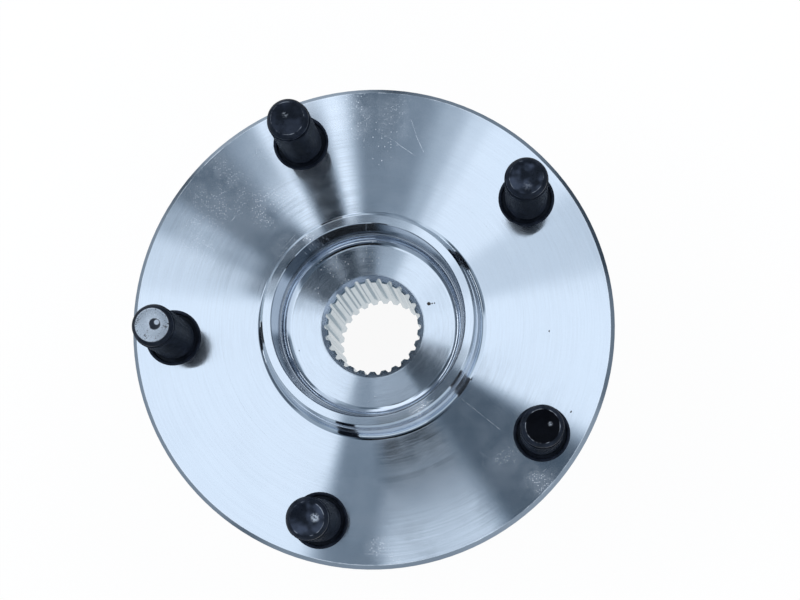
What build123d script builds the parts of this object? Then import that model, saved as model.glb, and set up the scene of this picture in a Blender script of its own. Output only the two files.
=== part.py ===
from build123d import *
from math import cos, degrees, floor, pi, radians, sin
import os

# Wheel hub bearing of the third generation, for a driven wheel. Millimetres.
# +Z runs along the axle towards the wheel, and the origin is the centre of the
# wheel's mounting face. Every z value below is a height on that axle.

# Wheel and brake disc side
stud_count = 5
stud_edge_distance = 11.85
first_stud_angle = 39.5
stud_diameter = 12.0
stud_reach = 32.0
stud_tip_diameter = 11.4
stud_tip_length = 2.6
stud_tip_chamfer = 1.1
stud_shoulder_diameter = 14.2
stud_shoulder_gap = 1.6
stud_neck_diameter = 11.2
stud_neck_length = 1.1
stud_head_diameter = 20.0
stud_head_thickness = 4.5
stud_head_fillet = 1.0
stud_hole_chamfer = 0.9
stud_seat_margin = 1.0
flange_diameter = 138.0
flange_thickness = 9.5
flange_edge_chamfer = 1.2
flange_back_fillet = 2.0
pilot_height = 14.5
wheel_pilot_diameter = 60.0
disc_pilot_diameter = 62.0
disc_pilot_height = 7.0
pilot_edge_chamfer = 0.6
pilot_root_fillet = 1.8

# Forged pockets in the back of the flange, one between each two studs
pocket_depth = 2.2
pocket_rim_wall = 6.0
pocket_boss_margin = 5.5
pocket_stud_margin = 3.0
pocket_fillet = 1.0

# Nut recess and splined bore
recess_depth = 2.5
recess_mouth_radius = 27.0
recess_wall_radius = 26.1
recess_lower_radius = 25.6
recess_step_height = 5.5
recess_fillet = 2.4
recess_mouth_chamfer = 0.25
spline_teeth = 26
spline_tip_radius = 12.9
spline_root_radius = 13.9
spline_gap_at_tip = 1.85
spline_gap_at_root = 0.75
spline_length = 50.0
bore_mouth_radius = 14.75
counterbore_radius = 17.5
counterbore_chamfer = 1.0

# Bearing: two rows of balls, back to back
ball_diameter = 12.7
pitch_diameter = 66.0
contact_angle = 40.0
row_spacing = 24.0
ball_gap = 3.2
groove_ratio = 0.52
ball_clearance = 0.1
race_shoulder_offset = 2.7
race_lip = 0.086

# Snap-in cages
cage_clearance = 0.15
cage_back_thickness = 2.2
cage_side_gap = 0.6
cage_width = 4.6
cage_horn_length = 2.2
cage_slot_width = 1.2
cage_slot_depth = 4.6
cage_end_gap = 0.8

# Rings
seat_clearance = 0.02
inner_ring_wall = 4.1
inner_ring_front = 9.5
inner_ring_overhang = 1.0
inner_ring_chamfer = 0.5
rolled_end_thickness = 4.5
rolled_end_lip = 5.5
rolled_end_fillet = 3.6
seal_land_step = 0.7
land_end_gap = 0.5
labyrinth_gap = 2.0
head_clearance = 0.5
outer_ring_wall = 5.5
ring_edge_chamfer = 1.0

# Knuckle side
spigot_step = 2.0
spigot_chamfer = 1.5
knuckle_face_depth = 44.0
knuckle_flange_thickness = 11.0
knuckle_flange_rim = 5.0
knuckle_root_fillet = 2.5
knuckle_edge_fillet = 1.0
knuckle_bolt_count = 4
knuckle_bolt_circle_diameter = 112.0
first_knuckle_bolt_angle = 45.0
knuckle_hole_radius = 5.35
knuckle_hole_chamfer = 0.8
knuckle_lug_radius = 11.0
knuckle_lug_fillet = 5.0

# Seals, slinger and encoder
seal_seat_step = 0.6
seal_seat_width = 4.5
seal_sheet = 0.8
seal_throat = 3.5
lip_clearance = 0.2
lip_thickness = 0.6
lip_heel = 1.3
lip_spacing = 2.9
lip_flare = 0.2
outboard_lip_count = 2
inboard_lip_count = 1
rubber_coat = 0.6
slinger_sheet = 0.8
slinger_recess = 0.5
slinger_edge_gap = 0.5
encoder_thickness = 0.9
encoder_width = 6.0

# Heights worked out down the axle
ball_radius = ball_diameter / 2
cage_pocket_radius = ball_radius + cage_clearance
row_to_cage_back = cage_pocket_radius + cage_back_thickness
row_to_ring_edge = row_to_cage_back + cage_end_gap + seal_seat_width
flange_back = -flange_thickness
stud_head_end = flange_back - stud_head_thickness
stud_shoulder_end = -stud_shoulder_gap
stud_neck_end = stud_shoulder_end + stud_neck_length
ring_start = stud_head_end - head_clearance
seal_face = ring_start + labyrinth_gap
outboard_row = ring_start - row_to_ring_edge
inboard_row = outboard_row - row_spacing
ring_end = inboard_row - row_to_ring_edge
outboard_web = ring_start - seal_seat_width
inboard_web = ring_end + seal_seat_width
outboard_land_end = outboard_row + row_to_cage_back + land_end_gap
inboard_land_end = inboard_row - row_to_cage_back - land_end_gap
slinger_outer_face = ring_end + slinger_recess
slinger_inner_face = slinger_outer_face + slinger_sheet
inner_ring_nose = inboard_row + inner_ring_front
inner_ring_rear = ring_end - inner_ring_overhang
hub_end = inner_ring_rear - rolled_end_thickness
knuckle_face = -knuckle_face_depth
knuckle_flange_front = knuckle_face + knuckle_flange_thickness
recess_floor = -recess_depth
recess_step = recess_floor + recess_step_height
spline_end = recess_floor - spline_length

# Radii worked out across the bearing
pitch_radius = pitch_diameter / 2
groove_radius = ball_diameter * groove_ratio
groove_offset = groove_radius - ball_radius - ball_clearance
groove_shift_out = groove_offset * cos(radians(contact_angle))
groove_shift_along = groove_offset * sin(radians(contact_angle))
inner_groove_centre = pitch_radius + groove_shift_out
outer_groove_centre = pitch_radius - groove_shift_out
inner_shoulder_radius = pitch_radius - race_shoulder_offset
outer_land_radius = pitch_radius + race_shoulder_offset
inner_low_radius = inner_groove_centre - groove_radius + race_lip
outer_low_radius = outer_groove_centre + groove_radius - race_lip
spindle_radius = inner_low_radius - inner_ring_wall
rolled_end_radius = spindle_radius + rolled_end_lip
seal_land_radius = inner_shoulder_radius + seal_land_step
slinger_sleeve_radius = inner_shoulder_radius + seat_clearance + slinger_sheet
seal_seat_radius = outer_low_radius + seal_seat_step
seal_case_radius = seal_seat_radius - seat_clearance
slinger_edge_radius = seal_case_radius - seal_sheet - slinger_edge_gap
body_radius = seal_seat_radius + outer_ring_wall
spigot_radius = body_radius - spigot_step
cage_inner_radius = inner_shoulder_radius + cage_side_gap
cage_outer_radius = cage_inner_radius + cage_width
balls_per_row = floor(pi * pitch_diameter / (ball_diameter + ball_gap))
flange_radius = flange_diameter / 2
stud_radius = stud_diameter / 2
stud_neck_radius = stud_neck_diameter / 2
stud_shoulder_radius = stud_shoulder_diameter / 2
stud_head_radius = stud_head_diameter / 2
stud_circle_radius = flange_radius - stud_edge_distance
stud_hole_radius = stud_shoulder_radius + seat_clearance
wheel_pilot_radius = wheel_pilot_diameter / 2
disc_pilot_radius = disc_pilot_diameter / 2
knuckle_bolt_radius = knuckle_bolt_circle_diameter / 2


def corner(section, radius_at, height_at):
    return section.vertices().sort_by_distance((radius_at, height_at))[0]


def cut_groove(groove_centre, height):
    # A raceway: the circle of its groove, swept round the axle
    with BuildSketch(Plane.XZ) as groove:
        with Locations((groove_centre, height)):
            Circle(groove_radius)
    revolve(groove.sketch, axis=Axis.Z, mode=Mode.SUBTRACT)


def edges_at(piece, height):
    return piece.edges().filter_by_position(Axis.Z, height, height)


def from_axle(point):
    return (point.X**2 + point.Y**2) ** 0.5


def section_ring(*points):
    # One closed outline in radius and height, swept round the axle
    with BuildSketch(Plane.XZ) as outline:
        Polygon(*points)
    revolve(outline.sketch, axis=Axis.Z)


os.makedirs("parts", exist_ok=True)

# Hub: wheel flange, pilot, outboard inner race, spindle and rolled end in one forging
stud_half_step = 180 / stud_count
pocket_outer_radius = flange_radius - pocket_rim_wall
pocket_width = pocket_outer_radius - body_radius - pocket_boss_margin
pocket_line_radius = pocket_outer_radius - pocket_width / 2
pocket_clear_length = stud_head_radius + pocket_stud_margin + pocket_width / 2
pocket_half_span = stud_half_step - degrees(pocket_clear_length / pocket_line_radius)
pocket_line = CenterArc((0, 0), pocket_line_radius, -pocket_half_span, 2 * pocket_half_span)

with BuildPart() as hub:
    with BuildSketch(Plane.XZ) as hub_section:
        with BuildLine():
            Polyline(
                (spline_tip_radius, recess_floor),
                (recess_lower_radius, recess_floor),
                (recess_lower_radius, recess_step),
                (recess_wall_radius, recess_step),
                (recess_mouth_radius, pilot_height),
                (wheel_pilot_radius, pilot_height),
                (wheel_pilot_radius, disc_pilot_height),
                (disc_pilot_radius, disc_pilot_height),
                (disc_pilot_radius, 0),
                (flange_radius, 0),
                (flange_radius, flange_back),
                (body_radius, flange_back),
                (body_radius, seal_face),
                (seal_land_radius, seal_face),
                (seal_land_radius, outboard_land_end),
                (inner_shoulder_radius, outboard_land_end),
                (inner_shoulder_radius, outboard_row),
                (inner_low_radius, outboard_row),
                (inner_low_radius, inner_ring_nose),
                (spindle_radius, inner_ring_nose),
                (spindle_radius, inner_ring_rear),
                (rolled_end_radius, inner_ring_rear),
                (rolled_end_radius, hub_end),
                (counterbore_radius, hub_end),
                (counterbore_radius, spline_end),
                (spline_tip_radius, spline_end),
                close=True,
            )
        make_face()
        fillet(corner(hub_section, recess_lower_radius, recess_floor), recess_fillet)
        chamfer(corner(hub_section, recess_mouth_radius, pilot_height), recess_mouth_chamfer)
        chamfer(corner(hub_section, wheel_pilot_radius, pilot_height), pilot_edge_chamfer)
        chamfer(corner(hub_section, disc_pilot_radius, disc_pilot_height), pilot_edge_chamfer)
        fillet(corner(hub_section, disc_pilot_radius, 0), pilot_root_fillet)
        chamfer(corner(hub_section, flange_radius, 0), flange_edge_chamfer)
        chamfer(corner(hub_section, flange_radius, flange_back), flange_edge_chamfer)
        fillet(corner(hub_section, body_radius, flange_back), flange_back_fillet)
        fillet(corner(hub_section, rolled_end_radius, hub_end), rolled_end_fillet)
        chamfer(corner(hub_section, counterbore_radius, hub_end), counterbore_chamfer)
    revolve(axis=Axis.Z)
    cut_groove(inner_groove_centre, outboard_row - groove_shift_along)

    # Internal spline, with its teeth bevelled where the axle enters
    with BuildSketch(Plane.XY.offset(spline_end)):
        with PolarLocations(0, spline_teeth):
            Polygon(
                (spline_tip_radius - spline_gap_at_root, -spline_gap_at_tip / 2),
                (spline_tip_radius, -spline_gap_at_tip / 2),
                (spline_root_radius, -spline_gap_at_root / 2),
                (spline_root_radius, spline_gap_at_root / 2),
                (spline_tip_radius, spline_gap_at_tip / 2),
                (spline_tip_radius - spline_gap_at_root, spline_gap_at_tip / 2),
            )
    extrude(amount=spline_length, mode=Mode.SUBTRACT)
    with Locations((0, 0, recess_floor)):
        Cone(
            0,
            bore_mouth_radius,
            bore_mouth_radius,
            align=(Align.CENTER, Align.CENTER, Align.MAX),
            mode=Mode.SUBTRACT,
        )

    # Stud holes, their flat seats for the heads, and the pockets between them
    with PolarLocations(stud_circle_radius, stud_count, start_angle=first_stud_angle):
        CounterSinkHole(
            stud_hole_radius,
            stud_hole_radius + stud_hole_chamfer,
            depth=flange_thickness,
            counter_sink_angle=90,
        )
    with BuildSketch(Plane.XY.offset(flange_back)):
        with PolarLocations(stud_circle_radius, stud_count, start_angle=first_stud_angle):
            Circle(stud_head_radius + stud_seat_margin)
    extrude(amount=stud_head_end - flange_back, mode=Mode.SUBTRACT)
    with BuildSketch(Plane.XY.offset(flange_back)):
        with PolarLocations(0, stud_count, start_angle=first_stud_angle + stud_half_step):
            SlotArc(pocket_line, pocket_width)
    extrude(amount=pocket_depth, mode=Mode.SUBTRACT)
    fillet(edges_at(hub, flange_back + pocket_depth), pocket_fillet)
hub.part.label = "hub"
export_step(hub.part, "parts/hub.step")

# Wheel studs: head behind the flange, serrated shoulder pressed into it, long shank
with BuildPart() as stud:
    with BuildSketch(Plane.XZ) as stud_section:
        with BuildLine():
            Polyline(
                (0, stud_head_end),
                (stud_head_radius, stud_head_end),
                (stud_head_radius, flange_back),
                (stud_shoulder_radius, flange_back),
                (stud_shoulder_radius, stud_shoulder_end - stud_shoulder_radius + stud_neck_radius),
                (stud_neck_radius, stud_shoulder_end),
                (stud_neck_radius, stud_neck_end),
                (stud_radius, stud_neck_end + stud_radius - stud_neck_radius),
                (stud_radius, stud_reach - stud_tip_length),
                (stud_tip_diameter / 2, stud_reach - stud_tip_length),
                (stud_tip_diameter / 2, stud_reach),
                (0, stud_reach),
                close=True,
            )
        make_face()
        fillet(corner(stud_section, stud_head_radius, stud_head_end), stud_head_fillet)
        chamfer(corner(stud_section, stud_tip_diameter / 2, stud_reach), stud_tip_chamfer)
    revolve(axis=Axis.Z)

with BuildPart() as wheel_studs:
    with PolarLocations(stud_circle_radius, stud_count, start_angle=first_stud_angle):
        add(stud.part)
wheel_studs.part.label = "wheel_studs"
export_step(wheel_studs.part, "parts/wheel_studs.step")

# Inner ring: the inboard inner race, held on the spindle by the rolled end
with BuildPart() as inner_ring:
    inner_ring_bore = spindle_radius + seat_clearance
    with BuildSketch(Plane.XZ) as inner_ring_section:
        with BuildLine():
            Polyline(
                (inner_ring_bore, inner_ring_nose),
                (inner_low_radius, inner_ring_nose),
                (inner_low_radius, inboard_row),
                (inner_shoulder_radius, inboard_row),
                (inner_shoulder_radius, inner_ring_rear),
                (inner_ring_bore, inner_ring_rear),
                close=True,
            )
        make_face()
        chamfer(corner(inner_ring_section, inner_ring_bore, inner_ring_nose), inner_ring_chamfer)
        chamfer(corner(inner_ring_section, inner_low_radius, inner_ring_nose), inner_ring_chamfer)
        chamfer(corner(inner_ring_section, inner_shoulder_radius, inner_ring_rear), inner_ring_chamfer)
        chamfer(corner(inner_ring_section, inner_ring_bore, inner_ring_rear), inner_ring_chamfer)
    revolve(axis=Axis.Z)
    cut_groove(inner_groove_centre, inboard_row + groove_shift_along)
inner_ring.part.label = "inner_ring"
export_step(inner_ring.part, "parts/inner_ring.step")

# Outer ring: both outer races, the knuckle flange with its lugs, and the spigot
with BuildPart() as outer_ring:
    with BuildSketch(Plane.XZ) as outer_ring_section:
        with BuildLine():
            Polyline(
                (seal_seat_radius, ring_start),
                (body_radius, ring_start),
                (body_radius, knuckle_face),
                (spigot_radius, knuckle_face),
                (spigot_radius, ring_end),
                (seal_seat_radius, ring_end),
                (seal_seat_radius, inboard_web),
                (outer_low_radius, inboard_web),
                (outer_low_radius, inboard_row),
                (outer_land_radius, inboard_row),
                (outer_land_radius, outboard_row),
                (outer_low_radius, outboard_row),
                (outer_low_radius, outboard_web),
                (seal_seat_radius, outboard_web),
                close=True,
            )
        make_face()
        chamfer(corner(outer_ring_section, body_radius, ring_start), ring_edge_chamfer)
        chamfer(corner(outer_ring_section, spigot_radius, ring_end), spigot_chamfer)
    revolve(axis=Axis.Z)

    with BuildSketch(Plane.XY.offset(knuckle_face)) as knuckle_outline:
        Circle(body_radius + knuckle_flange_rim)
        with PolarLocations(0, knuckle_bolt_count, start_angle=first_knuckle_bolt_angle):
            SlotCenterToCenter(2 * knuckle_bolt_radius, 2 * knuckle_lug_radius)
        fillet(
            knuckle_outline.vertices().filter_by(lambda vertex: from_axle(vertex) < knuckle_bolt_radius),
            knuckle_lug_fillet,
        )
        Circle(spigot_radius, mode=Mode.SUBTRACT)
    extrude(amount=knuckle_flange_thickness)
    front_edges = edges_at(outer_ring, knuckle_flange_front).sort_by(lambda edge: from_axle(edge @ 0))
    fillet(front_edges[1:], knuckle_edge_fillet)
    front_edges = edges_at(outer_ring, knuckle_flange_front).sort_by(lambda edge: from_axle(edge @ 0))
    fillet(front_edges[0], knuckle_root_fillet)
    with BuildSketch(Plane.XY.offset(knuckle_face)):
        with PolarLocations(
            knuckle_bolt_radius, knuckle_bolt_count, start_angle=first_knuckle_bolt_angle
        ):
            Circle(knuckle_hole_radius)
    extrude(amount=knuckle_flange_thickness, mode=Mode.SUBTRACT)
    hole_rims = outer_ring.edges().filter_by(GeomType.CIRCLE)
    chamfer(
        hole_rims.filter_by(lambda rim: abs(rim.radius - knuckle_hole_radius) < seat_clearance),
        knuckle_hole_chamfer,
    )
    cut_groove(outer_groove_centre, outboard_row + groove_shift_along)
    cut_groove(outer_groove_centre, inboard_row - groove_shift_along)
outer_ring.part.label = "outer_ring"
export_step(outer_ring.part, "parts/outer_ring.step")

# Balls and their snap-in cages. A cage is a ring behind the balls, with a pair of
# horns round each ball that reach past its middle and hold it.
ball_step = 360 / balls_per_row
for side, row, backwards in (("outboard", outboard_row, 1), ("inboard", inboard_row, -1)):
    horn_tips = row - backwards * cage_horn_length
    with BuildPart() as cage:
        with BuildSketch(Plane.XY.offset(horn_tips)):
            Circle(cage_outer_radius)
            Circle(cage_inner_radius, mode=Mode.SUBTRACT)
        extrude(amount=backwards * (cage_horn_length + row_to_cage_back))
        with BuildSketch(Plane.XY.offset(horn_tips)):
            with PolarLocations(pitch_radius, balls_per_row, start_angle=ball_step / 2):
                Rectangle(4 * cage_width, cage_slot_width)
        extrude(amount=backwards * cage_slot_depth, mode=Mode.SUBTRACT)
        with Locations((0, 0, row)):
            with PolarLocations(pitch_radius, balls_per_row):
                Sphere(cage_pocket_radius, mode=Mode.SUBTRACT)
    cage.part.label = f"cage_{side}"
    export_step(cage.part, f"parts/cage_{side}.step")

    for number in range(balls_per_row):
        ball_angle = radians(number * ball_step)
        with BuildPart() as ball:
            with Locations((pitch_radius * cos(ball_angle), pitch_radius * sin(ball_angle), row)):
                Sphere(ball_radius)
        ball.part.label = f"ball_{side}_{number + 1:02d}"
        export_step(ball.part, f"parts/ball_{side}_{number + 1:02d}.step")

# Seals: each a pressed sheet case with a rubber lip ring bonded to it. An outline
# point's height is its distance from the inner face of the case's web, measured
# away from the balls, towards the face that the axial lips run against.
seals = (
    ("outboard", outboard_web, 1, seal_face, seal_land_radius, outboard_lip_count),
    ("inboard", inboard_web, -1, slinger_inner_face, slinger_sleeve_radius, inboard_lip_count),
)
for side, web, away, running_face, land_radius, axial_lip_count in seals:
    web_edge = land_radius + seal_throat
    case_bore = seal_case_radius - seal_sheet
    with BuildPart() as seal_case:
        section_ring(
            (web_edge, web),
            (seal_case_radius, web),
            (seal_case_radius, web + away * seal_seat_width),
            (case_bore, web + away * seal_seat_width),
            (case_bore, web + away * seal_sheet),
            (web_edge, web + away * seal_sheet),
        )
    seal_case.part.label = f"{side}_seal_case"
    export_step(seal_case.part, f"parts/{side}_seal_case.step")

    rubber_face = web + away * (seal_sheet + rubber_coat)
    heel_radius = web_edge - lip_heel
    with BuildPart() as seal_lip:
        section_ring(
            (heel_radius, web),
            (web_edge - seat_clearance, web),
            (web_edge - seat_clearance, web + away * seal_sheet),
            (case_bore - seat_clearance, web + away * seal_sheet),
            (case_bore - seat_clearance, rubber_face),
            (heel_radius, rubber_face),
            (land_radius + lip_clearance, web + away * lip_thickness),
            (land_radius + lip_clearance, web + away * lip_thickness / 2),
        )
        for number in range(axial_lip_count):
            lip_root = web_edge + number * lip_spacing
            lip_reach = abs(running_face - rubber_face) - lip_clearance
            lip_tip = lip_root + lip_flare * lip_reach
            section_ring(
                (lip_root, rubber_face),
                (lip_tip, rubber_face + away * lip_reach),
                (lip_tip + lip_thickness / 2, rubber_face + away * lip_reach),
                (lip_root + lip_thickness, rubber_face),
            )
    seal_lip.part.label = f"{side}_seal_lip"
    export_step(seal_lip.part, f"parts/{side}_seal_lip.step")

# Slinger: the inboard seal's rotating sheet ring, pressed on the inner ring's shoulder
with BuildPart() as slinger:
    section_ring(
        (slinger_sleeve_radius - slinger_sheet, inboard_land_end),
        (slinger_sleeve_radius, inboard_land_end),
        (slinger_sleeve_radius, slinger_inner_face),
        (slinger_edge_radius, slinger_inner_face),
        (slinger_edge_radius, slinger_outer_face),
        (slinger_sleeve_radius - slinger_sheet, slinger_outer_face),
    )
slinger.part.label = "slinger"
export_step(slinger.part, "parts/slinger.step")

# Encoder ring: magnetised rubber on the slinger, read by the wheel speed sensor
with BuildPart() as encoder_ring:
    section_ring(
        (slinger_edge_radius - encoder_width, slinger_outer_face),
        (slinger_edge_radius, slinger_outer_face),
        (slinger_edge_radius, slinger_outer_face - encoder_thickness),
        (slinger_edge_radius - encoder_width, slinger_outer_face - encoder_thickness),
    )
encoder_ring.part.label = "encoder_ring"
export_step(encoder_ring.part, "parts/encoder_ring.step")
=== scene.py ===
from math import atan2, cos, pi, radians, sin, tan

import bpy
from mathutils import Matrix, Vector


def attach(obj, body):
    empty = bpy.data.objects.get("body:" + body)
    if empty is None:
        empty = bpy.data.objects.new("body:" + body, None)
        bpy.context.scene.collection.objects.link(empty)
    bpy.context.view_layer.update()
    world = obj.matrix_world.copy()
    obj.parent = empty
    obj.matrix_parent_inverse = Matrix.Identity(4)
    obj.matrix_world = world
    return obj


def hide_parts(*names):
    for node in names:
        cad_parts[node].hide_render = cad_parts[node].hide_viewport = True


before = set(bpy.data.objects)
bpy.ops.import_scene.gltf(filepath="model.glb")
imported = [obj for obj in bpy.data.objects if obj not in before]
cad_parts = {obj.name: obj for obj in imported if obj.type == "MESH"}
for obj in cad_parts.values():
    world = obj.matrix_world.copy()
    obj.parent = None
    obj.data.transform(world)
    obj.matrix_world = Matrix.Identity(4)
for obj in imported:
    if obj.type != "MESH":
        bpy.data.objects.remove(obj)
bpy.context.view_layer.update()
mm = 0.001

viewpoint = {
    "place": (43.52 * mm, -62.57 * mm, 536.21 * mm),
    "turn": (7.422, 3.747, 0.304),
    "lens": 85.48,
}


def placeCamera():
    made = bpy.data.cameras.new("viewCamera")
    made.lens = viewpoint["lens"]
    made.sensor_width = 36
    made.clip_start = 0.01
    holder = bpy.data.objects.new("viewCamera", made)
    holder.location = viewpoint["place"]
    holder.rotation_euler = [radians(turn) for turn in viewpoint["turn"]]
    bpy.context.scene.collection.objects.link(holder)
    bpy.context.scene.camera = holder


placeCamera()
bpy.context.scene.view_settings.view_transform = "Standard"
print("camera placed")


def addNode(tree, kind, inputs=None, **settings):
    made = tree.nodes.new("ShaderNode" + kind)
    for name, value in settings.items():
        setattr(made, name, value)
    for socket, value in (inputs or {}).items():
        if isinstance(value, bpy.types.NodeSocket):
            tree.links.new(value, made.inputs[socket])
        else:
            made.inputs[socket].default_value = value
    return made


def maths(tree, operation, first, second=0.5, clamp=False):
    inputs = {0: first, 1: second}
    return addNode(tree, "Math", inputs, operation=operation, use_clamp=clamp).outputs[0]


def vectors(tree, operation, first, second=(0, 0, 0)):
    made = addNode(tree, "VectorMath", {0: first, 1: second}, operation=operation)
    return made.outputs["Value" if operation in ("LENGTH", "DISTANCE", "DOT_PRODUCT") else "Vector"]


def rescale(tree, value, low, high, newLow=0.0, newHigh=1.0):
    # Smooth step from one range to another, held at its ends
    inputs = {"Value": value, "From Min": low, "From Max": high, "To Min": newLow, "To Max": newHigh}
    return addNode(tree, "MapRange", inputs, interpolation_type="SMOOTHSTEP").outputs["Result"]


def noise(tree, place, scale, detail=3.0, rough=0.5):
    inputs = {"Vector": place, "Scale": scale, "Detail": detail, "Roughness": rough}
    return addNode(tree, "TexNoise", inputs).outputs["Fac"]


def blendColours(tree, amount, first, second, mode="MIX"):
    made = addNode(tree, "Mix", {0: amount}, data_type="RGBA", blend_type=mode)
    for slot, colour in ((6, first), (7, second)):
        if isinstance(colour, bpy.types.NodeSocket):
            tree.links.new(colour, made.inputs[slot])
        else:
            made.inputs[slot].default_value = (*colour, 1)
    return made.outputs[2]


def blendValues(tree, amount, first, second):
    made = addNode(tree, "Mix", {0: amount, 2: first, 3: second}, data_type="FLOAT")
    return made.outputs[0]


def bump(tree, height, depth, strength=1.0):
    inputs = {"Height": height, "Distance": depth, "Strength": strength}
    return addNode(tree, "Bump", inputs).outputs["Normal"]


def newMaterial(name):
    made = bpy.data.materials.new(name)
    made.use_nodes = True
    tree = made.node_tree
    tree.nodes.clear()
    return made, tree


def showSurface(tree, shader, output="OutputMaterial"):
    addNode(tree, output, {"Surface": shader.outputs[0]})


def closeMaterial(tree, **inputs):
    named = {key.replace("_", " "): value for key, value in inputs.items()}
    showSurface(tree, addNode(tree, "BsdfPrincipled", named))


def objectPlace(tree):
    return addNode(tree, "TexCoord").outputs["Object"]


studio = {
    "floorHeight": -72.1 * mm,
    "floorSize": 8.0,
    "floorColour": (0.92, 0.92, 0.92),
    "floorGlow": 0.94,
    "skyColour": (0.60, 0.64, 0.70),
    "ceilingHeight": 0.80,
    "ceilingRadius": 2.40,
    "ceilingMiddle": (-0.065, 0.093),
    "white": (0.90, 0.985, 1.08),
    "redFade": 1.10,
    "blueFade": 0.92,
    "steps": 96,  # in the ceiling and the walls
    "rimStart": 0.22,  # the ceiling dims outwards from here
    "rimEnd": 0.42,
    "rimShade": 0.12,
    "wallFoot": 0.24,
    "wallRadius": 2.30,
    "wallShade": 0.07,
    "wallTop": 0.38,
    "wallFade": (-0.25, 0.02),  # from wallShade up to wallTop, by the height from the walls' middle
    "lampColour": (0.93, 0.97, 1.0),
}
# How softly the cards end: at their sides, in degrees at most and as a share of half the card,
# and at the ceiling cards' near and far ends, in metres
cardEdges = {
    "ceiling": (4.0, 0.38),
    "wall": (8.0, 0.75),
    "near": 0.007,
    "far": 0.012,
}
# Cards fixed to the ceiling, seen only in the part's reflections: where each starts and ends
# round the middle in degrees, and out from it in metres, and how bright it is
ceilingCards = (
    ((332, 368), (0.30, 2.60), 0.85),
    ((52, 70), (0.32, 2.60), 0.75),
    ((70, 97), (0.32, 2.60), 0.30),
    ((226, 250), (0.32, 2.60), 0.38),
    ((92, 130), (0.081, 2.60), 1.12),
    ((60, 70), (0.065, 0.45), 0.82),
    ((66, 77), (0.065, 0.45), 0.50),
    ((74, 96), (0.065, 0.45), 0.27),
    ((83, 95), (0.138, 0.45), 0.15),
    ((103.5, 116.5), (0.020, 0.162), 0.01),
    ((126, 166), (0.065, 0.105), 0.08),
    ((121, 133), (0.120, 0.40), 0.38),
    ((130, 158), (0.105, 0.40), 0.16),
    ((148, 162), (0.100, 0.40), 0.55),
    ((157, 170), (0.100, 0.40), 0.85),
    ((256, 276), (0.065, 0.45), 0.24),
    ((274, 306), (0.065, 0.116), 0.00),
    ((274, 306), (0.116, 0.140), 0.24),
    ((274, 306), (0.140, 0.20), 0.85),
    ((262, 314), (0.205, 0.70), 0.00),
    ((304, 332), (0.065, 0.45), 0.11),
    ((14, 34), (0.065, 0.20), 0.76),
    ((10, 34), (0.205, 0.70), 0.28),
    ((132, 156), (0.205, 0.70), 0.05),
    ((66, 88), (-0.10, 0.072), 0.50),
    ((86, 156), (-0.10, 0.072), 0.03),
    ((252, 273), (-0.10, 0.064), 0.30),
    ((274, 304), (-0.10, 0.060), 0.48),
    ((306, 345), (-0.10, 0.068), 0.02),
)
# Lighter stretches of the walls: start and end in degrees, and how bright
wallCards = (
    ((22, 50), 0.10),
    ((50, 84), 0.36),
    ((95, 135), 0.62),
    ((146, 230), 0.46),
    ((236, 300), 0.46),
    ((292, 346), 0.56),
    ((350, 374), 0.32),
)
# Soft boxes: place, size, power
softBoxes = (
    ((-1.30, 0.35, 1.05), 1.6, 14.0),
    ((1.15, 0.85, 1.15), 1.6, 12.0),
    ((0.25, -1.55, 0.95), 1.3, 6.0),
)


def whiteForCamera(tree, plain):
    # A plain white for what the camera, gloss and glass see directly
    rays = addNode(tree, "LightPath").outputs
    seen = maths(tree, "MAXIMUM", rays["Is Camera Ray"], rays["Is Glossy Ray"])
    seen = maths(tree, "MAXIMUM", seen, rays["Is Transmission Ray"])
    return maths(tree, "MULTIPLY", seen, plain)


def makeFloor():
    bpy.ops.object.select_all(action="DESELECT")
    bpy.ops.mesh.primitive_plane_add(size=studio["floorSize"], location=(0, 0, studio["floorHeight"]))
    floor = bpy.context.object
    floor.name = "studioFloor"
    paint, tree = newMaterial("studioFloorPaint")
    matte = addNode(tree, "BsdfDiffuse", {"Color": (*studio["floorColour"], 1)})
    glow = addNode(tree, "Emission", {"Color": (1, 1, 1, 1), "Strength": 1.0})
    amount = whiteForCamera(tree, studio["floorGlow"])
    showSurface(tree, addNode(tree, "MixShader", {0: amount, 1: matte.outputs[0], 2: glow.outputs[0]}))
    floor.data.materials.append(paint)


def glowInReflections(piece, paint, tree, shade):
    # Lit by its own shade of white, and left to be seen in reflections alone
    colour = coolShade(tree, shade)
    showSurface(tree, addNode(tree, "Emission", {"Color": colour, "Strength": 1.0}))
    piece.data.materials.append(paint)
    piece.visible_camera = False
    piece.visible_diffuse = False
    piece.visible_transmission = False
    piece.visible_shadow = False


def inSector(tree, start, end, widest, soft):
    # One inside a sector seen from above, none outside it, with a soft edge
    place = vectors(tree, "NORMALIZE", vectors(tree, "MULTIPLY", objectPlace(tree), (1, 1, 0)))
    turn = radians((start + end) / 2)
    slant = vectors(tree, "DOT_PRODUCT", place, (cos(turn), sin(turn), 0))
    half = (end - start) / 2
    edge = min(widest, half * soft)
    return rescale(tree, slant, cos(radians(half + edge)), cos(radians(half - edge)))


def coolShade(tree, shade):
    # The studio's white dimmed, a little bluer the darker it gets
    red, green, blue = studio["white"]
    inputs = {
        "Red": maths(tree, "MULTIPLY", maths(tree, "POWER", shade, studio["redFade"]), red),
        "Green": maths(tree, "MULTIPLY", shade, green),
        "Blue": maths(tree, "MULTIPLY", maths(tree, "POWER", shade, studio["blueFade"]), blue),
    }
    return addNode(tree, "CombineColor", inputs).outputs[0]


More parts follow.
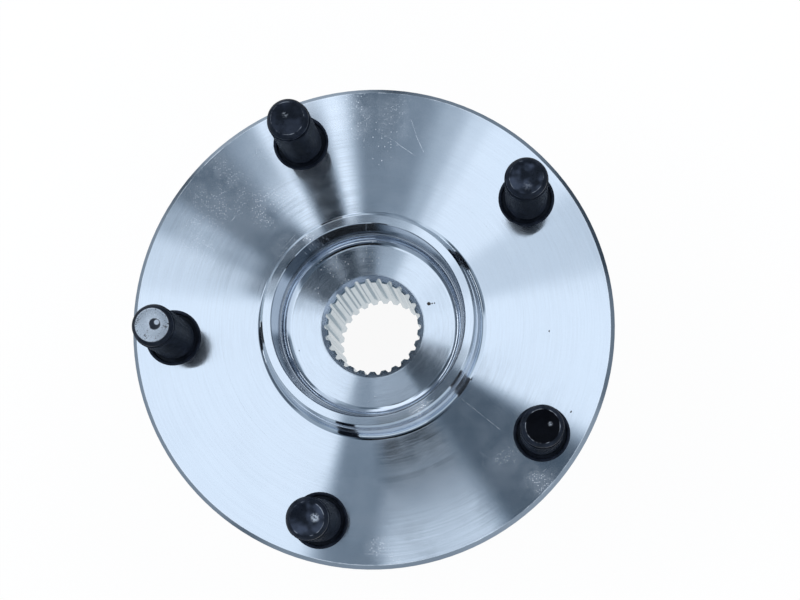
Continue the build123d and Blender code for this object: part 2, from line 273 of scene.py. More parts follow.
def makeCeiling():
    middle = (*studio["ceilingMiddle"], studio["ceilingHeight"])
    bpy.ops.object.select_all(action="DESELECT")
    bpy.ops.mesh.primitive_circle_add(
        vertices=studio["steps"],
        radius=studio["ceilingRadius"],
        fill_type="NGON",
        location=middle,
    )
    ceiling = bpy.context.object
    ceiling.name = "studioCeiling"
    paint, tree = newMaterial("studioCeilingPaint")
    outward = vectors(tree, "LENGTH", objectPlace(tree))
    shade = rescale(tree, outward, studio["rimStart"], studio["rimEnd"], 1.0, studio["rimShade"])
    nearSoft, farSoft = cardEdges["near"], cardEdges["far"]
    for (start, end), (near, far), bright in ceilingCards:
        begun = rescale(tree, outward, near - nearSoft, near + nearSoft)
        ended = rescale(tree, outward, far + farSoft, far - farSoft)
        between = maths(tree, "MULTIPLY", begun, ended)
        inside = maths(tree, "MULTIPLY", between, inSector(tree, start, end, *cardEdges["ceiling"]))
        shade = blendValues(tree, inside, shade, bright)
    glowInReflections(ceiling, paint, tree, shade)


def makeWalls():
    # A dim funnel round the part, seen only in its reflections, so edges and chamfers stay grey
    bpy.ops.object.select_all(action="DESELECT")
    bpy.ops.mesh.primitive_cone_add(
        vertices=studio["steps"],
        radius1=studio["wallFoot"],
        radius2=studio["wallRadius"],
        depth=studio["ceilingHeight"] - studio["floorHeight"],
        end_fill_type="NOTHING",
        location=(0, 0, (studio["ceilingHeight"] + studio["floorHeight"]) / 2 + mm),
    )
    walls = bpy.context.object
    walls.name = "studioWalls"
    paint, tree = newMaterial("studioWallPaint")
    level = addNode(tree, "SeparateXYZ", {0: objectPlace(tree)}).outputs["Z"]
    shade = rescale(tree, level, *studio["wallFade"], studio["wallShade"], studio["wallTop"])
    for (start, end), bright in wallCards:
        shade = blendValues(tree, inSector(tree, start, end, *cardEdges["wall"]), shade, bright)
    glowInReflections(walls, paint, tree, shade)


def hangLamps():
    for number, (place, size, power) in enumerate(softBoxes):
        lamp = bpy.data.lights.new(f"softBox{number + 1}", "AREA")
        lamp.size = size
        lamp.energy = power
        lamp.color = studio["lampColour"]
        holder = bpy.data.objects.new(lamp.name, lamp)
        holder.location = place
        holder.rotation_euler = (-Vector(place)).to_track_quat("-Z", "Y").to_euler()
        bpy.context.scene.collection.objects.link(holder)


def paintSky():
    sky = bpy.data.worlds.new("studioSky")
    sky.use_nodes = True
    tree = sky.node_tree
    tree.nodes.clear()
    colour = blendColours(tree, whiteForCamera(tree, 1.0), studio["skyColour"], (1, 1, 1))
    showSurface(tree, addNode(tree, "Background", {"Color": colour, "Strength": 1.0}), "OutputWorld")
    bpy.context.scene.world = sky


makeFloor()
makeCeiling()
makeWalls()
hangLamps()
paintSky()
print("stage set")

hubSteel = {
    "bright": (0.760, 0.830, 0.915),
    "dull": (0.735, 0.802, 0.886),
    "smooth": 0.068,
    "rough": 0.084,
    "anisotropy": 0.97,
    "markDepth": 0.00000022,
    "marks": 3000,
    "streaks": 2200,
    "haze": 0.018,
    "hazeCloud": ((75, 5.0, 0.62), (0.46, 0.66)),
    "innerShine": 0.014,
    "shineFades": (34 * mm, 56 * mm),
}
# Places in the hub with painted shade, darkest in the nut recess, the bore and on the flange's chamfer,
# the rest only hazier: radius from and to and height from and to, in mm, the painted shade laid over
# the steel, how hazy, and how far the turning marks fade
hubPaintedShade = (
    ((67.82, 69.5), (-9.6, 0.2), (0.62, 0.62, 0.62), 0.02, 0.0),
    ((29.5, 31.3), (0.6, 13.7), (0.92, 0.93, 0.96), 0.13, 0.9),
    ((24.9, 27.2), (-0.8, 14.35), (0.50, 0.51, 0.53), 0.03, 0.85),
    ((23.2, 25.4), (-2.3, 0.20), (0.90, 0.90, 0.92), 0.03, 0.85),
    ((14.9, 23.6), (-2.6, -2.30), (1.00, 1.00, 1.00), 0.012, 0.0),
    ((12.8, 14.76), (-4.6, -2.60), (1.00, 1.00, 1.00), 0.14, 0.5),
    ((0.0, 14.3), (-53.0, -3.90), (0.50, 0.58, 0.60), 0.11, 0.5),
    ((14.5, 17.7), (-71.6, -52.3), (0.62, 0.66, 0.68), 0.12, 0.8),
)
# Handling marks and painted highlights on the hub's outboard faces, in mm seen from above: scuffed
# patches as place, reach and strength, painted sparkles standing in for glints as place and reach,
# scratches as two ends and a strength, dark spots as place and radius, a painted glint along the
# flange's edge as two radii, and the limits of radius and height past which there is no wear and no
# painted glint
hubWearAndGlints = {
    "scuffs": (
        ((-7.5, 61.0), 10.0, 1.00),
        ((7.8, 60.3), 10.0, 0.55),
        ((-43.7, 39.5), 18.0, 0.55),
        ((-29.5, 34.5), 10.0, 0.95),
        ((-48.5, 26.3), 14.0, 0.50),
        ((-33.0, 50.0), 9.0, 0.40),
        ((-23.7, 21.8), 7.0, 0.70),
        ((37.9, -36.8), 7.0, 0.55),
        ((47.7, -43.8), 7.0, 0.80),
        ((2.2, -62.4), 5.0, 1.00),
        ((7.0, -66.0), 4.0, 1.00),
        ((-10.9, 15.8), 5.0, 0.50),
        ((-17.5, 10.6), 4.5, 0.40),
        ((-16.3, 23.3), 3.5, 1.30),
        ((14.6, -24.6), 4.5, 1.30),
        ((-3.5, 64.5), 4.5, 1.50),
    ),
    "sparkles": (
        ((-10.4, 16.2), 8.0),
        ((-17.4, 9.0), 5.0),
        ((-0.5, 20.8), 5.0),
        ((2.0, -21.0), 4.5),
        ((-7.0, 60.0), 11.0),
        ((3.0, 52.0), 8.0),
    ),
    "scratches": (
        ((0.8, 56.8), (7.6, 52.6), 0.42),
        ((7.0, 52.7), (12.1, 49.2), 0.66),
        ((10.9, 59.9), (12.6, 54.9), 0.38),
        ((12.4, 55.1), (14.6, 50.2), 0.60),
        ((24.5, -20.1), (37.4, -30.4), 0.42),
        ((12.6, -25.9), (16.9, -23.2), 0.70),
        ((13.4, -24.7), (18.4, -22.4), 0.50),
        ((-17.9, 22.8), (-15.4, 23.6), 0.60),
        ((-44.3, 40.4), (-38.6, 44.8), 0.30),
        ((-41.0, 30.1), (-39.0, 32.7), 0.60),
        ((-49.0, 26.9), (-42.1, 31.6), 0.26),
        ((-25.8, 22.4), (-22.3, 26.2), 0.40),
        ((-40.2, 21.9), (-36.5, 27.1), 0.26),
        ((-1.4, -64.6), (6.4, -64.6), 0.45),
        ((10.3, -52.3), (21.0, -50.3), 0.26),
        ((31.7, -36.8), (31.7, -45.2), 0.26),
        ((30.6, -36.0), (35.6, -38.8), 0.22),
        ((38.4, -34.0), (41.2, -36.8), 0.32),
        ((44.9, -43.8), (49.9, -40.4), 0.36),
    ),
    "spots": (
        ((16.2, 6.4), 0.62),
        ((17.1, 6.5), 0.34),
        ((17.8, 6.6), 0.20),
        ((50.4, -1.8), 0.26),
        ((56.4, -24.7), 0.30),
        ((-21.0, -7.0), 0.18),
    ),
    "scratchWidth": 0.13,
    "bloom": 0.075,
    "glint": (67.66, 67.84),
    "glintEdge": 0.04,
    "glintTone": (0.0, 0.6, 0.1, 0.7),
    "radiusLimit": (68.2, 68.0),
    "heightLimit": (-3.3, -3.2),
    "paleWearAndGlints": (0.80, 0.87, 0.96),
    "paleCover": 0.85,
    "spotColour": (0.055, 0.045, 0.040),
    "spotRough": 0.5,
}
# What those marks are made of: clouds as a noise (scale, detail, roughness) and the range of it
# that shows, dots by the scale of their cells, the share of cells that hold one and their reach,
# and how far each mark's full strength goes out from its middle
wearAndSparkleTexture = {
    "patches": ((130, 5.0, 0.62), (0.34, 0.54)),
    "bloom": ((60, 6.0, 0.65), (0.40, 0.66)),
    "breaks": ((700, 3.0, 0.7), (0.34, 0.56)),
    "flecks": {
        "scale": 2100,
        "share": (0.58, 0.92),
        "reach": (0.46, 0.10),
        "tone": (0.0, 0.8, 0.17, 0.78),
    },
    "specks": {
        "scale": 1150,
        "share": (0.80, 0.84),
        "reach": (0.24, 0.09),
        "tone": (0.0, 1.0, 0.45, 1.0),
    },
    "hatch": {
        "turn": 52,
        "stretch": (420, 3600, 0),
        "detail": 2.0,
        "tone": (0.60, 0.68, 0.0, 0.36),
    },
    "raggedEdge": (1500, 2.0),
    "raggedDepth": 0.9,
    "scuffCore": 0.2,
    "speckCore": 0.5,
    "scratchCore": 0.1,
    "spotCore": 0.6,
}
# How the lathe's marks run on every turned face: finer and coarser rings by how they change round
# the axle, their detail and seed, a cloud over them, and what is left of them where they fade
lathe = {
    "marks": (1.2, 1.0),
    "streaks": (3.0, 3.0, 4.0),
    "cloud": (45, 4.0),
    "cloudShare": 0.4,
    "toneRange": (0.34, 0.62),
    "glossRange": (0.35, 0.65),
    "fadedMarks": 0.5,
    "fadedGrain": 0.40,
    "softEdge": 0.05 * mm,
}
outerSteel = {
    "bright": (0.50, 0.52, 0.55),
    "dull": (0.47, 0.49, 0.52),
    "smooth": 0.36,
    "rough": 0.41,
    "anisotropy": 0.60,
    "markDepth": 0.0000012,
    "marks": 2600,
    "streaks": 1100,
}
raceSteel = {
    "bright": (0.66, 0.68, 0.71),
    "dull": (0.52, 0.54, 0.57),
    "smooth": 0.14,
    "rough": 0.24,
    "anisotropy": 0.70,
    "markDepth": 0.0000008,
    "marks": 4200,
    "streaks": 900,
}


def turnedTangent(tree, place):
    # The direction across the tool marks: outward on flat faces, along the axle on walls
    circling = vectors(tree, "NORMALIZE", vectors(tree, "CROSS_PRODUCT", (0, 0, 1), place))
    turned = addNode(
        tree,
        "VectorTransform",
        {0: circling},
        vector_type="VECTOR",
        convert_from="OBJECT",
        convert_to="WORLD",
    )
    facing = addNode(tree, "NewGeometry").outputs["Normal"]
    across = vectors(tree, "CROSS_PRODUCT", turned.outputs[0], facing)
    return vectors(tree, "ADD", across, (0, 0, 0.004))  # never quite zero, even on the axle


def turnedPlace(tree, place):
    # Round the axle once, and by radius plus height across it, so marks run in rings
    flat = vectors(tree, "MULTIPLY", place, (1, 1, 0))
    radius = vectors(tree, "LENGTH", flat)
    height = addNode(tree, "SeparateXYZ", {0: place}).outputs["Z"]
    across = maths(tree, "ADD", radius, height)
    parts = addNode(tree, "SeparateXYZ", {0: vectors(tree, "NORMALIZE", flat)}).outputs
    return {"radius": radius, "height": height, "across": across, "x": parts["X"], "y": parts["Y"]}


def ringNoise(tree, ring, across, roundabout, detail, seed=0.0):
    inputs = {
        "X": maths(tree, "MULTIPLY", ring["x"], roundabout),
        "Y": maths(tree, "MULTIPLY", ring["y"], roundabout),
        "Z": maths(tree, "MULTIPLY", ring["across"], across),
    }
    place = addNode(tree, "CombineXYZ", inputs).outputs[0]
    seeded = vectors(tree, "ADD", place, (seed, seed * 0.7, 0))
    return noise(tree, seeded, 1.0, detail)


def inBand(tree, value, low, high, edge):
    up = rescale(tree, value, low - edge, low + edge)
    down = rescale(tree, value, high + edge, high - edge)
    return maths(tree, "MULTIPLY", up, down)


def clouds(tree, place, look):
    # A noise, held to the range of it that shows
    kind, shown = look
    return rescale(tree, noise(tree, place, *kind), *shown)


def scatter(tree, place, look):
    # Dots one to a cell, which cells are drawn, and a second lot for each cell
    inputs = {"Vector": place, "Scale": look["scale"]}
    cells = addNode(tree, "TexVoronoi", inputs, voronoi_dimensions="2D").outputs
    lots = addNode(tree, "SeparateColor", {0: cells["Color"]}).outputs
    dots = rescale(tree, cells["Distance"], *look["reach"])
    return {"dots": dots, "drawn": rescale(tree, lots[0], *look["share"]), "lot": lots[1]}


def flatPlace(tree, place):
    # The place as seen along the axle, in mm
    return vectors(tree, "MULTIPLY", place, (1 / mm, 1 / mm, 0))


def nearTo(tree, flat, centre):
    return vectors(tree, "DISTANCE", flat, (*centre, 0))


def scuffMarks(tree, place, flat):
    # Fine pits and crossing strokes, in patches
    cells = scatter(tree, place, wearAndSparkleTexture["flecks"])
    grit = maths(tree, "MULTIPLY", cells["dots"], cells["drawn"])
    flecks = rescale(tree, grit, *wearAndSparkleTexture["flecks"]["tone"])
    look = wearAndSparkleTexture["hatch"]
    slanted = addNode(tree, "Mapping", {0: place, 2: (0, 0, radians(look["turn"])), 3: look["stretch"]})
    hatch = noise(tree, slanted.outputs[0], 1.0, look["detail"])
    strokes = rescale(tree, hatch, *look["tone"])
    scuffed = 0.0
    for centre, reach, strength in hubWearAndGlints["scuffs"]:
        core = reach * wearAndSparkleTexture["scuffCore"]
        patch = rescale(tree, nearTo(tree, flat, centre), reach, core, 0.0, strength)
        scuffed = maths(tree, "MAXIMUM", scuffed, patch)
    broken = maths(tree, "MULTIPLY", scuffed, clouds(tree, place, wearAndSparkleTexture["patches"]))
    return maths(tree, "MULTIPLY", broken, maths(tree, "MAXIMUM", flecks, strokes))


def paintedSparkles(tree, place, flat):
    # Painted sparkles: single bright specks that stand in for glints
    cells = scatter(tree, place, wearAndSparkleTexture["specks"])
    glow = rescale(tree, cells["lot"], *wearAndSparkleTexture["specks"]["tone"])
    dots = maths(tree, "MULTIPLY", cells["dots"], maths(tree, "MULTIPLY", cells["drawn"], glow))
    sparkled = 0.0
    for centre, reach in hubWearAndGlints["sparkles"]:
        patch = rescale(tree, nearTo(tree, flat, centre), reach, reach * wearAndSparkleTexture["speckCore"])
        sparkled = maths(tree, "MAXIMUM", sparkled, patch)
    return maths(tree, "MULTIPLY", dots, sparkled)


def scratchMarks(tree, place, flat):
    # Lines by their distance from the nearest point between two ends, broken here and there
    broken = clouds(tree, place, wearAndSparkleTexture["breaks"])
    width = hubWearAndGlints["scratchWidth"]
    scratched = 0.0
    for start, end, strength in hubWearAndGlints["scratches"]:
        run = Vector(end) - Vector(start)
        aim = (*run.normalized(), 0)
        offset = vectors(tree, "SUBTRACT", flat, (*start, 0))
        along = maths(tree, "MAXIMUM", vectors(tree, "DOT_PRODUCT", offset, aim), 0.0)
        held = maths(tree, "MINIMUM", along, run.length)
        foot = addNode(tree, "VectorMath", {0: aim, "Scale": held}, operation="SCALE")
        beside = vectors(tree, "DISTANCE", offset, foot.outputs[0])
        line = rescale(tree, beside, width, width * wearAndSparkleTexture["scratchCore"], 0.0, strength)
        scratched = maths(tree, "MAXIMUM", scratched, maths(tree, "MULTIPLY", line, broken))
    return scratched


def spotMarks(tree, place, flat):
    # Dark spots with a ragged edge
    unevenness = maths(tree, "SUBTRACT", noise(tree, place, *wearAndSparkleTexture["raggedEdge"]), 0.5)
    edge = maths(tree, "MULTIPLY", unevenness, wearAndSparkleTexture["raggedDepth"])
    spots = 0.0
    for centre, radius in hubWearAndGlints["spots"]:
        near = maths(tree, "ADD", nearTo(tree, flat, centre), edge)
        spot = rescale(tree, near, radius, radius * wearAndSparkleTexture["spotCore"])
        spots = maths(tree, "MAXIMUM", spots, spot)
    return spots


def wearAndGlintMasks(tree, place, ring):
    # Pale marks that scatter light, with painted glints among them (the sparkles and the flange edge's
    # glint), and dark spots, on faces that look outboard
    flat = flatPlace(tree, place)
    cloud = clouds(tree, place, wearAndSparkleTexture["bloom"])
    # Painted highlight: a pale line, broken by clouds, along the flange's edge stands in for its glint
    inner, outer = hubWearAndGlints["glint"]
    edge = inBand(tree, ring["radius"], inner * mm, outer * mm, hubWearAndGlints["glintEdge"] * mm)
    glint = maths(tree, "MULTIPLY", edge, rescale(tree, cloud, *hubWearAndGlints["glintTone"]))
    bloom = maths(tree, "MULTIPLY", cloud, hubWearAndGlints["bloom"])
    paleWearAndGlints = maths(tree, "ADD", scuffMarks(tree, place, flat), bloom)
    for marks in (paintedSparkles(tree, place, flat), scratchMarks(tree, place, flat), glint):
        paleWearAndGlints = maths(tree, "MAXIMUM", paleWearAndGlints, marks)
    above = rescale(tree, ring["height"], *[limit * mm for limit in hubWearAndGlints["heightLimit"]])
    within = rescale(tree, ring["radius"], *[limit * mm for limit in hubWearAndGlints["radiusLimit"]])
    outboard = maths(tree, "MULTIPLY", above, within)
    spots = spotMarks(tree, place, flat)
    return maths(tree, "MULTIPLY", paleWearAndGlints, outboard), maths(tree, "MULTIPLY", spots, outboard)


def turnedSteel(name, look, paintedShadeBands=(), wornWithGlints=False):
    made, tree = newMaterial(name)
    place = objectPlace(tree)
    ring = turnedPlace(tree, place)
    marks = ringNoise(tree, ring, look["marks"], *lathe["marks"])
    streaks = ringNoise(tree, ring, look["streaks"], *lathe["streaks"])
    cloud = noise(tree, place, *lathe["cloud"])
    share = lathe["cloudShare"]
    lines = maths(tree, "MULTIPLY", streaks, 1 - share)
    mixed = maths(tree, "ADD", lines, maths(tree, "MULTIPLY", cloud, share))
    colour = blendColours(tree, rescale(tree, mixed, *lathe["toneRange"]), look["dull"], look["bright"])
    gloss = rescale(tree, streaks, *lathe["glossRange"], look["rough"], look["smooth"])
    grain = look["anisotropy"]
    # Painted shade: each band's tint darkens the steel's colour where the recess, bore and chamfer lie
    # in shade, while its haze and faded marks change the finish
    for (near, far), (low, high), shade, haze, calm in paintedShadeBands:
        across = inBand(tree, ring["radius"], near * mm, far * mm, lathe["softEdge"])
        along = inBand(tree, ring["height"], low * mm, high * mm, lathe["softEdge"])
        inside = maths(tree, "MULTIPLY", across, along)
        shaded = blendColours(tree, 1.0, colour, shade, "MULTIPLY")
        colour = blendColours(tree, inside, colour, shaded)
        gloss = maths(tree, "ADD", gloss, maths(tree, "MULTIPLY", inside, haze))
        faded = maths(tree, "MULTIPLY", inside, calm)
        marks = blendValues(tree, faded, marks, lathe["fadedMarks"])
        grain = blendValues(tree, faded, grain, lathe["fadedGrain"])
    metal = 1.0
    if wornWithGlints:
        kind, shown = look["hazeCloud"]
        film = rescale(tree, noise(tree, place, *kind), *shown, 0.0, look["haze"])
        shine = rescale(tree, ring["radius"], *look["shineFades"], look["innerShine"], 0.0)
        gloss = maths(tree, "SUBTRACT", maths(tree, "ADD", gloss, film), shine)
        # Wear and painted glints go into the colour as pale marks, with less metal under them
        paleWearAndGlints, spots = wearAndGlintMasks(tree, place, ring)
        colour = blendColours(tree, paleWearAndGlints, colour, hubWearAndGlints["paleWearAndGlints"])
        colour = blendColours(tree, spots, colour, hubWearAndGlints["spotColour"])
        covered = maths(tree, "MAXIMUM", maths(tree, "MULTIPLY", paleWearAndGlints, hubWearAndGlints["paleCover"]), spots)
        metal = maths(tree, "SUBTRACT", 1.0, covered)
        gloss = maths(tree, "ADD", gloss, maths(tree, "MULTIPLY", spots, hubWearAndGlints["spotRough"]))
    closeMaterial(
        tree,
        Base_Color=colour,
        Metallic=metal,
        Roughness=gloss,
        Anisotropic=grain,
        Tangent=turnedTangent(tree, place),
        Normal=bump(tree, marks, look["markDepth"]),
    )
    return made


def paintNode(nodeName, paint):
    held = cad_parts[nodeName]
    for slot in held.material_slots:
        slot.material = paint


hubPaint = turnedSteel("turnedHubSteel", hubSteel, hubPaintedShade, wornWithGlints=True)
paintNode("hub", hubPaint)
paintNode("outer_ring", turnedSteel("outerRingSteel", outerSteel))
paintNode("inner_ring", turnedSteel("groundRaceSteel", raceSteel))
print("steels painted")

# Finishes inside the bearing. Clouds and grain are noises by scale, detail and roughness, and the
# sheet's grain runs in rings, by how it changes across them, round the axle, and its detail
glossRange = (0.3, 0.7)
ballFinish = {
    "colour": (0.70, 0.72, 0.74),
    "haze": (0.60, 0.62, 0.65),
    "smooth": 0.06,
    "rough": 0.12,
    "cloud": (220, 3.0),
}
sheetFinish = {
    "colour": (0.50, 0.51, 0.52),
    "dull": (0.36, 0.37, 0.38),
    "smooth": 0.32,
    "rough": 0.48,
    "cloud": ((90, 4.0), (0.35, 0.65)),
    "grain": (1800, 9.0, 3.0),
    "grainDepth": 0.000004,
}
rubberFinish = {
    "colour": (0.022, 0.022, 0.024),
    "dusty": (0.045, 0.044, 0.043),
    "smooth": 0.42,
    "rough": 0.66,
    "grain": 1400,
    "grainDepth": 0.000012,
}
encoderFinish = {
    "colour": (0.040, 0.034, 0.032),
    "dusty": (0.075, 0.066, 0.060),
    "smooth": 0.34,
    "rough": 0.52,
    "grain": 2600,
    "grainDepth": 0.000006,
}
nylonFinish = {
    "colour": (0.74, 0.66, 0.47),
    "dusty": (0.62, 0.53, 0.35),
    "smooth": 0.38,
    "rough": 0.55,
    "grain": 900,
    "grainDepth": 0.000010,
}
moulded = {
    "grain": (5.0, 0.6),
    "dust": ((120, 4.0), (0.42, 0.70)),
}


def ballSteel():
    made, tree = newMaterial("polishedBallSteel")
    haze = noise(tree, objectPlace(tree), *ballFinish["cloud"])
    colour = blendColours(tree, haze, ballFinish["haze"], ballFinish["colour"])
    gloss = rescale(tree, haze, *glossRange, ballFinish["smooth"], ballFinish["rough"])
    closeMaterial(tree, Base_Color=colour, Metallic=1.0, Roughness=gloss)
    return made


def sheetSteel():
    made, tree = newMaterial("pressedSheetSteel")
    look = sheetFinish
    place = objectPlace(tree)
    grain = ringNoise(tree, turnedPlace(tree, place), *look["grain"])
    colour = blendColours(tree, clouds(tree, place, look["cloud"]), look["dull"], look["colour"])
    gloss = rescale(tree, grain, *glossRange, look["smooth"], look["rough"])
    relief = bump(tree, grain, look["grainDepth"])
    closeMaterial(tree, Base_Color=colour, Metallic=1.0, Roughness=gloss, Normal=relief)
    return made


def mouldedPart(name, look):
    made, tree = newMaterial(name)
    place = objectPlace(tree)
    grain = noise(tree, place, look["grain"], *moulded["grain"])
    colour = blendColours(tree, clouds(tree, place, moulded["dust"]), look["colour"], look["dusty"])
    gloss = rescale(tree, grain, *glossRange, look["smooth"], look["rough"])
    relief = bump(tree, grain, look["grainDepth"])
    closeMaterial(tree, Base_Color=colour, Metallic=0.0, Roughness=gloss, Normal=relief)
    return made


ballPaint = ballSteel()
sheetPaint = sheetSteel()
rubberPaint = mouldedPart("mouldedSealRubber", rubberFinish)
encoderPaint = mouldedPart("magneticEncoderRubber", encoderFinish)
nylonPaint = mouldedPart("glassFilledNylon", nylonFinish)
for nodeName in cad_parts:
    if nodeName.startswith("ball_"):
        paintNode(nodeName, ballPaint)
    elif nodeName.startswith("cage_"):
        paintNode(nodeName, nylonPaint)
    elif nodeName.endswith("_seal_case") or nodeName == "slinger":
        paintNode(nodeName, sheetPaint)
    elif nodeName.endswith("_seal_lip"):
        paintNode(nodeName, rubberPaint)
paintNode("encoder_ring", encoderPaint)
print("bearing painted")

# The pilot, its root and the nut recess as one smooth turned surface just proud of the hub,
# with the small edge roundings a lathe leaves: radius, height and rounding, in mm
pilotSkin = {
    "steps": 420,
    "arcSteps": 7,
    "support": 0.03,
    "smoothUnder": 24,
    "corners": (
        (47.0, -3.0, 0),
        (47.0, -0.02, 0),
        (34.0, 0.05, 0),
        (31.06, 0.05, 1.75),
        (31.06, 6.42, 0.15),
        (30.42, 7.06, 0.12),
        (30.06, 7.06, 0.10),
        (30.06, 13.92, 0.20),
        (29.42, 14.56, 0.20),
        (27.22, 14.56, 0.10),
        (26.94, 14.25, 0.08),
        (26.04, 3.06, 0.12),
        (25.54, 3.06, 0.20),
        (25.54, -2.44, 2.34),
        (14.84, -2.44, 0.10),
        (14.95, -3.0, 0),
    ),
}


def roundCorners(corners, steps, support):
    # An arc at each corner, with a point just outside each end of it so that flats stay flat
    line = []
    for before, here, after in zip(corners[-1:] + corners[:-1], corners, corners[1:] + corners[:1]):
        middle = Vector(here[:2])
        if not here[2]:
            line.append(middle)
            continue
        back = (Vector(before[:2]) - middle).normalized()
        onward = (Vector(after[:2]) - middle).normalized()
        half = back.angle(onward) / 2
        centre = middle + (back + onward).normalized() * here[2] / sin(half)
        start = middle + back * here[2] / tan(half) - centre
        end = middle + onward * here[2] / tan(half) - centre
        first = atan2(start.y, start.x)
        sweep = (atan2(end.y, end.x) - first + pi) % (2 * pi) - pi
        line.append(centre + start + back * support)
        for step in range(steps + 1):
            turn = first + sweep * step / steps
            line.append(centre + Vector((cos(turn), sin(turn))) * here[2])
        line.append(centre + end + onward * support)
    return [(point.x * mm, point.y * mm) for point in line]


# The five studs: heights are from the flange's face, and angles in degrees
studShape = {
    "circle": 57.15 * mm,
    "firstAngle": 39.5,
    "count": 5,
    "reach": 32.0 * mm,
    "radius": 6.0 * mm,
    "pitch": 1.5 * mm,
    "threadDepth": 0.80 * mm,
    "threadStart": -0.3 * mm,
    "threadEnd": 29.4 * mm,
    "tipRadius": 5.7 * mm,
    "tipChamfer": 1.1 * mm,
    "neckRadius": 5.6 * mm,
    "shoulderRadius": 7.1 * mm,
    "collarRadius": 7.97 * mm,
    "headRadius": 10.0 * mm,
    "headTop": -9.5 * mm,
    "headEnd": -14.0 * mm,
    "headRound": 1.0 * mm,
    "roundSteps": 6,
    "steps": 72,
    "threadSteps": 48,
    "smoothUnder": 32,
    "ownTurn": 0.7,  # between one stud's thread and the next, in radians
    "ownSeed": 1.7,  # between one stud's wear and the next
}
# Their black finish, its wear and the painted shade of one tip's hollow, in mm on the tips' faces
studFinish = {
    "black": (0.004, 0.006, 0.011),
    "grey": (0.012, 0.016, 0.027),
    "bare": (0.62, 0.68, 0.76),
    "sheen": (0.72, 0.84, 1.0),
    "smooth": 0.24,
    "rough": 0.42,
    "smudge": (0.075, 0.095, 0.145),
    "soot": (0.0015, 0.0015, 0.0022),
    "specular": (0.20, 0.05),
    "cloud": (380, 5.0, 0.6),
    "cloudRange": (0.38, 0.68),
    "fine": (1500, 4.0, 0.7),
    "blotch": (190, 2.0, 0.5),
    "grainDepth": 0.00001,
    "grainStrength": 0.6,
    "tipBand": (0.35 * mm, 0.10 * mm),  # below the very end
    "faceEdge": (4.75, 4.45),
    "smudgeRange": (0.46, 0.66),
    "groundRange": (0.30, 0.40),
    "rubbedRange": (0.42, 0.60),
    "rubbedCore": 0.2,
    "scoredRange": (0.56, 0.64),
    "scoredReach": (2.6, 4.2),
    "rimCircle": 4.58,
    "rimWidth": (0.15, 0.03),
    "rimGaps": (0.48, 0.66, 0.0, 0.42),
    "rimBlotches": (0.40, 0.60, 0.12, 1.0),
    # The painted shade of one tip's hollow: its core, its ragged edge, and the light spot left bare
    # beside its middle
    "markCore": 0.82,
    "markRagged": 1.2,
    "markLight": ((0.55, 0.45), (0.55, 0.80)),
}
# Wear at each stud's tip: how bare the whole face is, how smudged and how sooty, then a rubbed patch
# and the painted shade of a hollow, in mm from the stud's axis, as place, reach and strength
tipWear = (
    {"bare": 0.0, "smudge": 0.60, "sooty": 0.2, "rubbed": ((0.3, -2.4), 1.6, 0.12), "dark": None},
    {"bare": 0.0, "smudge": 0.20, "sooty": 0.3, "rubbed": ((-0.7, 1.0), 1.1, 0.45), "dark": None},
    {
        "bare": 1.0,
        "smudge": 0.00,
        "sooty": 0.0,
        "rubbed": ((0, 0), 1.0, 0.0),
        "dark": ((0.75, 0.30), 1.75, 0.97),
    },
    {"bare": 0.0, "smudge": 0.50, "sooty": 0.1, "rubbed": ((2.1, 0.3), 1.5, 0.95), "dark": None},
    {"bare": 0.0, "smudge": 0.00, "sooty": 0.9, "rubbed": ((2.0, 0.6), 0.8, 0.60), "dark": None},
)


def drawLine(name, points):
    # One vertex, extruded from point to point, given as radius and height
    bpy.ops.object.select_all(action="DESELECT")
    bpy.ops.mesh.primitive_plane_add(size=mm, location=(0, 0, 0))
    line = bpy.context.object
    line.name = name
    bpy.ops.object.mode_set(mode="EDIT")
    bpy.ops.mesh.select_all(action="SELECT")
    bpy.ops.mesh.merge(type="CENTER")
    bpy.ops.transform.translate(value=(points[0][0], 0, points[0][1]))
    for before, after in zip(points, points[1:]):
        step = (after[0] - before[0], 0, after[1] - before[1])
        bpy.ops.mesh.extrude_region_move(TRANSFORM_OT_translate={"value": step})
    bpy.ops.object.mode_set(mode="OBJECT")
    return line


def turnLine(line, steps):
    bpy.ops.object.mode_set(mode="EDIT")
    bpy.ops.mesh.select_all(action="SELECT")
    bpy.ops.mesh.spin(steps=steps, angle=2 * pi, center=(0, 0, 0), axis=(0, 0, 1))
    bpy.ops.mesh.select_all(action="SELECT")
    bpy.ops.mesh.remove_doubles(threshold=0.01 * mm)
    bpy.ops.mesh.normals_make_consistent(inside=False)
    bpy.ops.object.mode_set(mode="OBJECT")
    return line


def makePilotSkin():
    line = roundCorners(pilotSkin["corners"], pilotSkin["arcSteps"], pilotSkin["support"])
    skin = turnLine(drawLine("pilotSkin", [*line, line[0]]), pilotSkin["steps"])
    bpy.ops.object.shade_smooth_by_angle(angle=radians(pilotSkin["smoothUnder"]))
    skin.data.materials.append(hubPaint)
    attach(skin, "turning_hub")


